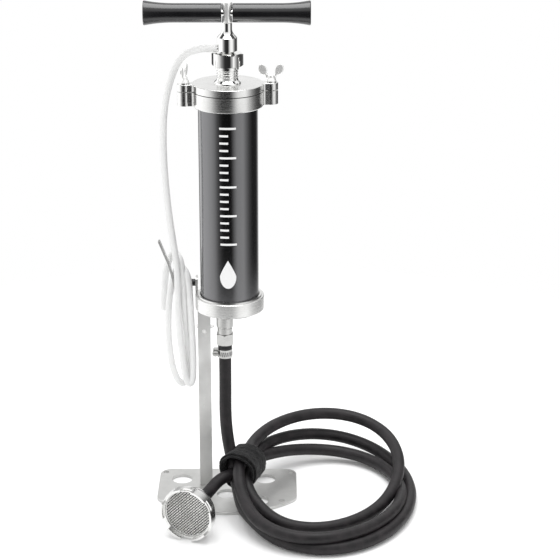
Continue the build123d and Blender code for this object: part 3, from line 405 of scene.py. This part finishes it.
def strap_cloth():
    """Black looped pile of a hook-and-loop strap."""
    look = Shader("strap_pile", (0.008, 0.008, 0.008), 0.9, Sheen_Weight=0.12, Specular_IOR_Level=0.15)
    pile = look.grain((1600, 1600, 1600), detail=3.0, roughness=0.7)
    tuft = look.grain((420, 420, 420), detail=3.0)
    lint = look.between(tuft, 0.35, 0.7, 0.0, 1.0)
    look.drive("Base Color", look.blend(lint, (0.003, 0.003, 0.003), (0.016, 0.016, 0.017)))
    look.drive("Roughness", look.between(tuft, 0.3, 0.7, 0.75, 0.95))
    first = look.bump(pile, 0.8, 0.0004)
    look.bump(tuft, 0.5, 0.0008, first)
    return look.material


def ceramic():
    look = Shader("candle_ceramic", (0.86, 0.84, 0.78), 0.85)
    pores = look.grain((1200, 1200, 1200), detail=3.0)
    cloud = look.grain((40, 40, 40))
    look.drive("Base Color", look.blend(cloud, (0.88, 0.86, 0.80), (0.80, 0.77, 0.69)))
    look.bump(pores, 0.4, 0.0001)
    return look.material


def white_plastic():
    look = Shader("white_moulding", (0.85, 0.85, 0.83), 0.35)
    cloud = look.grain((200, 200, 200))
    look.drive("Roughness", look.between(cloud, 0.3, 0.7, 0.3, 0.45))
    look.drive("Base Color", look.blend(cloud, (0.86, 0.86, 0.84), (0.80, 0.80, 0.78)))
    look.bump(cloud, 0.1, 0.0001)
    return look.material


def mark_ink():
    """White screen-printing ink."""
    look = Shader("mark_ink", (0.85, 0.85, 0.85), 0.45)
    cloud = look.grain((900, 900, 900), detail=2.0)
    look.drive("Base Color", look.blend(cloud, (0.88, 0.88, 0.88), (0.78, 0.78, 0.78)))
    look.drive("Roughness", look.between(cloud, 0.3, 0.7, 0.38, 0.55))
    look.bump(cloud, 0.1, 0.00003)
    return look.material


POLISHED = steel("polished_steel", 0.92, 0.86, 0.07, (60, 60, 3000), 0.000006, 0.02)
SATIN = steel("turned_satin_steel", 0.80, 0.73, 0.24, (40, 40, 2600), 0.00002, 0.06)
LID_STEEL = steel("lid_steel", 0.80, 0.72, 0.22, (900, 900, 900), 0.00001, 0.04)
DULL = steel("dull_fitting_steel", 0.56, 0.44, 0.24, (60, 60, 3000), 0.00003, 0.06)
BLASTED = steel("blasted_sheet", 0.62, 0.55, 0.42, (1500, 1500, 1500), 0.00006, 0.06)
BRUSHED = steel("brushed_strip", 0.66, 0.60, 0.36, (1800, 1800, 30), 0.00002, 0.06)
CAST = steel("cast_steel", 0.99, 0.90, 0.15, (500, 500, 500), 0.00003, 0.05, metallic=0.55)
FACETS = steel("polished_nut", 0.92, 0.86, 0.07, (900, 900, 900), 0.000006, 0.02)
crown_facets(FACETS)
WIRE = steel("wire_steel", 0.80, 0.62, 0.25, (900, 900, 900), 0.00002, 0.05, warmth=0.02)
ENAMEL = barrel_enamel()
GRIP = grip_plastic()
RUBBER = hose_rubber()
SEAL = seal_rubber()
OXIDE = black_oxide()
MILKY = milky_hose()
PILE = strap_cloth()
CERAMIC = ceramic()
WHITE = white_plastic()
INK = mark_ink()

NODE_MATERIALS = {
    BLASTED: ["foot_plate"],
    BRUSHED: ["stand_post", "post_bracket", "hose_hook", "hook_tab"],
    SATIN: ["base_cap", "top_ring", "post_washer", "post_stud"],
    DULL: ["coupling_nut", "inlet_nipple", "clamp_band", "clamp_screw"],
    LID_STEEL: ["lid", "strainer_bell", "strainer_rim", "foot_valve_cage", "piston_crown"],
    POLISHED: [
        "threaded_neck", "outlet_head", "crossbar", "piston_rod",
        "lid_studs", "lid_washer_left", "lid_washer_right", "hose_tail", "strainer_stem",
        "pump_cylinder", "foot_valve_ball", "piston_valve_ball", "gland_bush",
    ],
    CAST: ["handle_hub"],
    FACETS: ["union_nut"],
    ENAMEL: ["barrel"],
    GRIP: ["grip_left", "grip_right"],
    SEAL: [
        "base_gasket", "lid_gasket", "head_seal", "rod_seal", "hose_sleeve", "piston_seal",
        "candle_gasket",
    ],
    OXIDE: ["hook_screw"],
    CERAMIC: ["ceramic_candle"],
    WHITE: ["candle_bottom_cap", "candle_top_cap", "foot_valve_seat", "piston"],
}


def paint_nodes():
    for material, names in NODE_MATERIALS.items():
        for name in names:
            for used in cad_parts[name].material_slots:
                used.material = material


def finish_piece(piece, body, material, replaced=()):
    """Gives a new piece its material and its body, and hides the nodes that it stands for."""
    if not piece.data.materials:
        piece.data.materials.append(material)
    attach(piece, body)
    if replaced:
        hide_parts(*replaced)
    return piece


# ---- Hoses ----------------------------------------------------------------------------------
def hose_curve(name, points, radius):
    """A round hose on one smooth line, with points as its control points."""
    curve = bpy.data.curves.new(name, "CURVE")
    curve.dimensions = "3D"
    curve.bevel_depth = radius
    curve.bevel_resolution = 5
    curve.resolution_u = 10
    curve.use_fill_caps = True
    spline = curve.splines.new("NURBS")
    spline.points.add(len(points) - 1)
    for control, point in zip(spline.points, points):
        control.co = (*point, 1)
    spline.order_u = 3
    spline.use_endpoint_u = True
    piece = bpy.data.objects.new(name, curve)
    bpy.context.scene.collection.objects.link(piece)
    return piece


SUCTION_RADIUS = 0.00725
OUTLET_RADIUS = 0.004
STRAP_CENTER = Vector((0.015, -0.027, 0.045))
STRAP_AXIS = Vector((26, 55, 3)).normalized()
STRAP_SIDE = Vector((55, -26, 0)).normalized()
STRAP_LENGTH = 0.032

DROP = [
    (-0.006, -0.004, 0.1884), (-0.006, -0.004, 0.141), (-0.0065, -0.0045, 0.104),
    (-0.004, -0.008, 0.074), (0.002, -0.020, 0.049), (0.008, -0.043, 0.027), (0.014, -0.070, 0.013),
]

# One turn of the loose coil: centre, half width and half depth, the lean of its width and
# depth, in metres, and its height in millimetres at every thirty degrees, from the strap round
# the front, the right and the back to the strap again.
TURNS = [
    {
        "center": (0.117, -0.026), "half": (0.101, 0.141), "lean": (0.008, 0.001),
        "heights": (24, 9, 8, 8, 8, 8, 8, 9, 15, 24, 32, 40, 44),
    },
    {
        "center": (0.1115, 0.0), "half": (0.0945, 0.113), "lean": (-0.005, 0.029),
        "heights": (42, 19, 8, 8, 8, 16, 31, 42, 50, 55, 57, 55, 50),
    },
    {
        "center": (0.109, -0.038), "half": (0.0955, 0.126), "lean": (0.022, -0.012),
        "heights": (52, 30, 21, 20, 20, 18, 14, 9, 10, 13, 20, 32, 42),
    },
]
TURN_POINTS = 13
TURN_START, TURN_END = 27.0, 335.0

# Where the three passes lie inside the strap, across its axis and above it.
PASSES = [(0.0080, -0.0046), (0.0, 0.0092), (-0.0080, -0.0046)]

TAIL = [
    (-0.0075, -0.045, 0.0405), (-0.016, -0.053, 0.0375), (-0.0251, -0.0679, 0.0322),
    (-0.0323, -0.0866, 0.0322),
]


def turn_point(turn, degrees):
    """A point of one turn; 0 is at the strap, 90 at the front and 180 at the right."""
    angle = radians(degrees)
    x = turn["center"][0] - turn["half"][0] * cos(angle) - turn["lean"][0] * sin(angle)
    y = turn["center"][1] - turn["half"][1] * sin(angle) - turn["lean"][1] * cos(angle)
    station = degrees / 30.0
    low = int(station)
    share = station - low
    height = turn["heights"][low] * (1 - share) + turn["heights"][low + 1] * share
    return Vector((x, y, height / 1000))


def suction_route():
    route = [Vector(point) for point in DROP]
    for turn, (across, above) in zip(TURNS, PASSES):
        for k in range(TURN_POINTS):
            route.append(turn_point(turn, TURN_START + (TURN_END - TURN_START) * k / (TURN_POINTS - 1)))
        middle = STRAP_CENTER + STRAP_SIDE * across + Z * above
        route.append(middle + STRAP_AXIS * STRAP_LENGTH / 2)
        route.append(middle - STRAP_AXIS * STRAP_LENGTH / 2)
    return route + [Vector(point) for point in TAIL]


RISER = [
    (-0.01135, 0.0, 0.5465), (-0.0235, 0.0, 0.5466), (-0.0305, 0.0012, 0.546), (-0.051, 0.015, 0.537),
    (-0.0645, 0.024, 0.511), (-0.074, 0.018, 0.473), (-0.075, 0.011, 0.420), (-0.0718, 0.0085, 0.370),
    (-0.0673, 0.0095, 0.328), (-0.0615, 0.0095, 0.287),
]
# The strands of the hank, down and up: the inner fold, the outer strand behind the arm of the
# hook, and the last strand, which goes up to the free end.
HANK = [
    (-0.0610, 0.0088, 0.262), (-0.0618, 0.0086, 0.235), (-0.0600, 0.0086, 0.203), (-0.0570, 0.0088, 0.172),
    (-0.0545, 0.0090, 0.149), (-0.0510, 0.0092, 0.1375), (-0.0463, 0.0094, 0.138), (-0.0445, 0.0094, 0.152),
    (-0.0445, 0.0092, 0.182), (-0.0460, 0.0092, 0.214), (-0.0470, 0.0095, 0.245), (-0.0480, 0.0100, 0.268),
    (-0.0520, 0.0145, 0.279), (-0.0585, 0.0225, 0.282), (-0.0645, 0.029, 0.274), (-0.0695, 0.031, 0.257),
    (-0.0735, 0.028, 0.233), (-0.0745, 0.023, 0.205), (-0.0730, 0.018, 0.177), (-0.0685, 0.0145, 0.152),
    (-0.0625, 0.0150, 0.1375), (-0.0555, 0.0170, 0.1340), (-0.0510, 0.0172, 0.148), (-0.0508, 0.0168, 0.182),
    (-0.0530, 0.0150, 0.214), (-0.0545, 0.0135, 0.245),
]
FREE_END = [
    (-0.0555, 0.0125, 0.270), (-0.0565, 0.0130, 0.286), (-0.059, 0.017, 0.294), (-0.064, 0.0245, 0.298),
    (-0.0695, 0.0315, 0.293), (-0.074, 0.0365, 0.281), (-0.0775, 0.0385, 0.264), (-0.0795, 0.038, 0.244),
    (-0.080, 0.036, 0.222),
]


def add_hoses():
    suction = hose_curve("suction_hose", suction_route(), SUCTION_RADIUS)
    finish_piece(
        suction, "stand", RUBBER,
        ("suction_hose_drop", "suction_hose_coil", "suction_hose_tail"),
    )
    outlet = hose_curve("outlet_hose", RISER + HANK + FREE_END, OUTLET_RADIUS)
    finish_piece(
        outlet, "lid", MILKY,
        ("outlet_hose_riser", "outlet_hose_hank", "outlet_hose_end"),
    )


# ---- Strap ----------------------------------------------------------------------------------
def add_strap():
    """A creased tape wound one and two thirds times round the hoses, a little wider at its mouth."""
    turns, steps = 1.66, 300
    width, thick = 0.0310, 0.0023
    start_radius, gain_a_turn, mouth_flare = 0.0187, 0.0024, 0.0018
    crease_depth, fuzz_depth = 0.0008, 0.00055
    outline = []
    half_ring = 5
    rows = 22
    for k in range(rows + 1):
        outline.append((width * (k / rows - 0.5), thick / 2))
    for k in range(1, half_ring):
        angle = pi * k / half_ring
        outline.append((width / 2 + thick / 2 * sin(angle), thick / 2 * cos(angle)))
    for k in range(rows + 1):
        outline.append((width * (0.5 - k / rows), -thick / 2))
    for k in range(1, half_ring):
        angle = pi * k / half_ring
        outline.append((-width / 2 - thick / 2 * sin(angle), -thick / 2 * cos(angle)))
    above = STRAP_AXIS.cross(STRAP_SIDE).normalized()
    if above.z < 0:
        above = -above
    vertices, faces = [], []
    count = len(outline)
    for step in range(steps + 1):
        wound = turns * step / steps
        angle = 2 * pi * wound - 0.6
        out = STRAP_SIDE * cos(angle) + above * sin(angle)
        lobes = 0.0007 * cos(3 * angle - pi / 2)
        for along, rise in outline:
            flare = mouth_flare * (0.5 - along / width) ** 2
            radius = start_radius + gain_a_turn * wound + flare + lobes + rise
            shift = along - 0.0020 + 0.0030 * wound
            point = STRAP_CENTER + STRAP_AXIS * shift + out * radius
            crease = noise.noise(Vector((3.2 * angle, along * 160, wound * 2)))
            fuzz = noise.noise(point * 700)
            vertices.append(point + out * (crease_depth * crease + fuzz_depth * fuzz))
    for step in range(steps):
        for k in range(count):
            beside = (k + 1) % count
            low, high = step * count, (step + 1) * count
            faces.append((low + k, low + beside, high + beside, high + k))
    faces.append(tuple(reversed(range(count))))
    faces.append(tuple(range(steps * count, (steps + 1) * count)))
    strap = new_piece("wound_strap", vertices, faces)
    finish_piece(strap, "stand", PILE, ("coil_strap",))


# ---- Strainer -------------------------------------------------------------------------------
STRAINER_AXIS = Vector((-0.361, -0.9325, 0)).normalized()
STRAINER_CENTER = Vector((-0.046, -0.122, 0.0322))


def add_strainer_weave():
    """Woven wire on the mouth of the strainer, held by a turned ring, over a black disc of painted shade
    standing for the dark inside of the bell.
    """
    side = Z.cross(STRAINER_AXIS).normalized()
    reach, pitch = 0.0276, 0.0025
    front, wave_height = 0.0006, 0.00042
    wires = []
    rows = int(reach / pitch)
    for family, (run, across, radius) in enumerate(
        [((side + Z).normalized(), (Z - side).normalized(), 0.00078),
         ((Z - side).normalized(), (side + Z).normalized(), 0.00032)]
    ):
        for row in range(-rows, rows + 1):
            offset = row * pitch
            half = sqrt(reach**2 - offset**2)
            steps = max(6, int(half / (pitch / 4)))
            points = []
            for k in range(-steps, steps + 1):
                along = half * k / steps
                wave = cos(pi * along / pitch + pi * (row + family))
                rise = STRAINER_AXIS * (front + wave_height * wave)
                points.append(STRAINER_CENTER + run * along + across * offset + rise)
            wires.append(tube(points, radius, 6))
    weave = joined("strainer_weave", wires)
    finish_piece(weave, "stand", WIRE, ("strainer_mesh",))

    ring = turned(
        "strainer_ring",
        [
            (0.0271, 0.0002), (0.0271, 0.0016), (0.0273, 0.0020), (0.0277, 0.0022), (0.0280, 0.0020),
            (0.02815, 0.0014), (0.02815, 0.0002),
        ],
        120,
        close=True,
    )
    place(ring, STRAINER_CENTER, STRAINER_AXIS, side)
    finish_piece(ring, "stand", LID_STEEL)

    # Painted shade: a black disc just behind the weave stands for the shade inside the bell.
    painted_shade = turned("strainer_painted_shade", [(0.0, 0.0), (0.014, 0.0), (0.0281, 0.0)], 72)
    place(painted_shade, STRAINER_CENTER - STRAINER_AXIS * 0.0016, STRAINER_AXIS, side)
    finish_piece(painted_shade, "stand", OXIDE)


# ---- Wing nuts ------------------------------------------------------------------------------
def wing_lobe(sign):
    """One rounded wing, flat across the nut and leaning outwards, in millimetres."""
    outline = [(0, -1.25), (0.8, -1.25), (1.0, -0.9), (1.0, 0.9), (0.8, 1.25), (0, 1.25)]
    lobe = turned("lobe", outline, 40)
    lobe.data.transform(Matrix.Diagonal((4.7, 6.6, 1.0, 1)))
    lobe.data.transform(Matrix.Rotation(radians(90), 4, "X"))
    lobe.data.transform(Matrix.Rotation(sign * radians(24), 4, "Y"))
    lobe.data.transform(Matrix.Translation((sign * 9.3, 0, 13.2)))
    return lobe


def wing_neck(sign):
    """The narrow stalk between the collar and a wing, in millimetres."""
    neck = turned("neck", [(0, -5), (2.4, -5), (1.5, 0), (2.4, 5), (0, 5)], 24)
    neck.data.transform(Matrix.Diagonal((1.15, 0.62, 1.0, 1)))
    neck.data.transform(Matrix.Rotation(sign * radians(38), 4, "Y"))
    neck.data.transform(Matrix.Translation((sign * 5.0, 0, 6.6)))
    return neck


def add_wing_nut(name, replaced, body, origin, z_axis, x_axis, size):
    """A cast wing nut: a turned collar and two rounded wings, melted together."""
    collar = [(0, 0), (6.1, 0), (6.1, 1.0), (5.2, 2.6), (4.1, 4.6), (3.7, 7.0), (0, 7.0)]
    parts = [turned("collar", collar, 48)]
    for sign in (-1, 1):
        parts += [wing_lobe(sign), wing_neck(sign)]
    meshes = []
    for part in parts:
        vertices = [vertex.co.copy() for vertex in part.data.vertices]
        meshes.append((vertices, [tuple(face.vertices) for face in part.data.polygons]))
    nut = joined(name, meshes)
    for part in parts:
        bpy.data.objects.remove(part)
    nut.data.transform(Matrix.Scale(size / 1000, 4))
    melt = nut.modifiers.new("melt", "REMESH")
    melt.mode = "VOXEL"
    melt.voxel_size = 0.00036 * size
    melt.use_smooth_shade = True
    soften = nut.modifiers.new("soften", "SMOOTH")
    soften.factor = 0.5
    soften.iterations = 5
    apply_modifiers(nut)
    place(nut, origin, z_axis, x_axis)
    finish_piece(nut, body, CAST, (replaced,))


def add_wing_nuts():
    for side, wing_turn in (("left", 78.0), ("right", 4.0)):
        low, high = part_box(f"lid_wing_nut_{side}")
        origin = Vector(((low.x + high.x) / 2, (low.y + high.y) / 2, low.z))
        wings = Vector((cos(radians(wing_turn)), sin(radians(wing_turn)), 0))
        add_wing_nut(f"wing_nut_{side}", f"lid_wing_nut_{side}", f"{side}_nut", origin, Z, wings, 1.0)
    low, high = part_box("post_wing_nut")
    origin = Vector(((low.x + high.x) / 2, low.y, (low.z + high.z) / 2))
    add_wing_nut("wing_nut_post", "post_wing_nut", "post_nut", origin, Y, X, 0.8)


# ---- Small details --------------------------------------------------------------------------
def on_barrel(angle, height, radius):
    return Vector((radius * sin(angle), -radius * cos(angle), height))


def add_mark():
    """A plain drop and a scale of ticks, printed on the front of the barrel."""
    low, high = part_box("barrel")
    radius = high.x + 0.00012
    patches = []

    facing = -0.02

    def patch(edges):
        """A thin printed shape on the barrel: its left and right edge at each height, in metres."""
        columns = 8
        points, faces = [], []
        for height, left, right in edges:
            for k in range(columns + 1):
                across = left + (right - left) * k / columns
                points.append(on_barrel(across / radius + facing, height, radius))
        for row in range(len(edges) - 1):
            for k in range(columns):
                start = row * (columns + 1) + k
                faces.append((start, start + 1, start + columns + 2, start + columns + 1))
        patches.append((points, faces))

    drop_low, drop_r, drop_tall = low.z + 0.030, 0.0095, 0.034
    drop = []
    for k in range(41):
        share = k / 40
        wide = drop_r * sin(pi * share) ** 0.6
        if share >= 0.5:
            wide = drop_r * (1 - ((share - 0.5) * 2) ** 1.3)
        drop.append((drop_low + drop_tall * share**1.25, -wide, wide))
    patch(drop)
    scale_low, step = drop_low + 0.052, 0.0085
    scale_left, tick_tall = -0.0085, 0.0024
    for k in range(17):
        wide = 0.019 if k % 4 == 0 else 0.010
        z = scale_low + k * step
        patch([(z, scale_left, scale_left + wide), (z + tick_tall, scale_left, scale_left + wide)])
    mark = joined("barrel_mark", patches)
    finish_piece(mark, "stand", INK)


def add_clamp_slots():
    """The slanted slots that the worm screw bites into: dark patches lying on the hose clamp."""
    low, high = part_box("clamp_band")
    center = Vector((DROP[0][0], DROP[0][1], 0))
    band_radius, proud = 0.0087, 0.00006
    radius = band_radius + proud
    slots = []
    count = 22
    for k in range(count):
        start = 2 * pi * k / count
        corners = []
        for across, z in (
            (-0.0008, low.z + 0.0026),
            (0.0003, low.z + 0.0024),
            (0.0010, high.z - 0.0026),
            (-0.0001, high.z - 0.0024),
        ):
            angle = start + across / radius
            corners.append(center + Vector((radius * sin(angle), -radius * cos(angle), z)))
        slots.append((corners, [(0, 1, 2, 3)]))
    piece = joined("clamp_slots", slots, smooth=False)
    finish_piece(piece, "stand", OXIDE)


def add_gasket_rim():
    """The dark rim of the lid's gasket, seen in the slit between the lid and the top ring."""
    ring_high, lid_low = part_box("top_ring")[1].z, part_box("lid")[0].z
    inner, outer, gap = 0.0375, 0.0399, 0.0001
    outline = [
        (inner, ring_high + gap), (outer, ring_high + gap), (outer, lid_low - gap), (inner, lid_low - gap),
    ]
    seal = turned("lid_gasket_rim", outline, 120, close=True)
    finish_piece(seal, "lid", SEAL)


add_camera()
add_floor()
add_studio()
add_strainer_weave()
add_hoses()
add_strap()
add_wing_nuts()
add_mark()
add_clamp_slots()
add_gasket_rim()
paint_nodes()
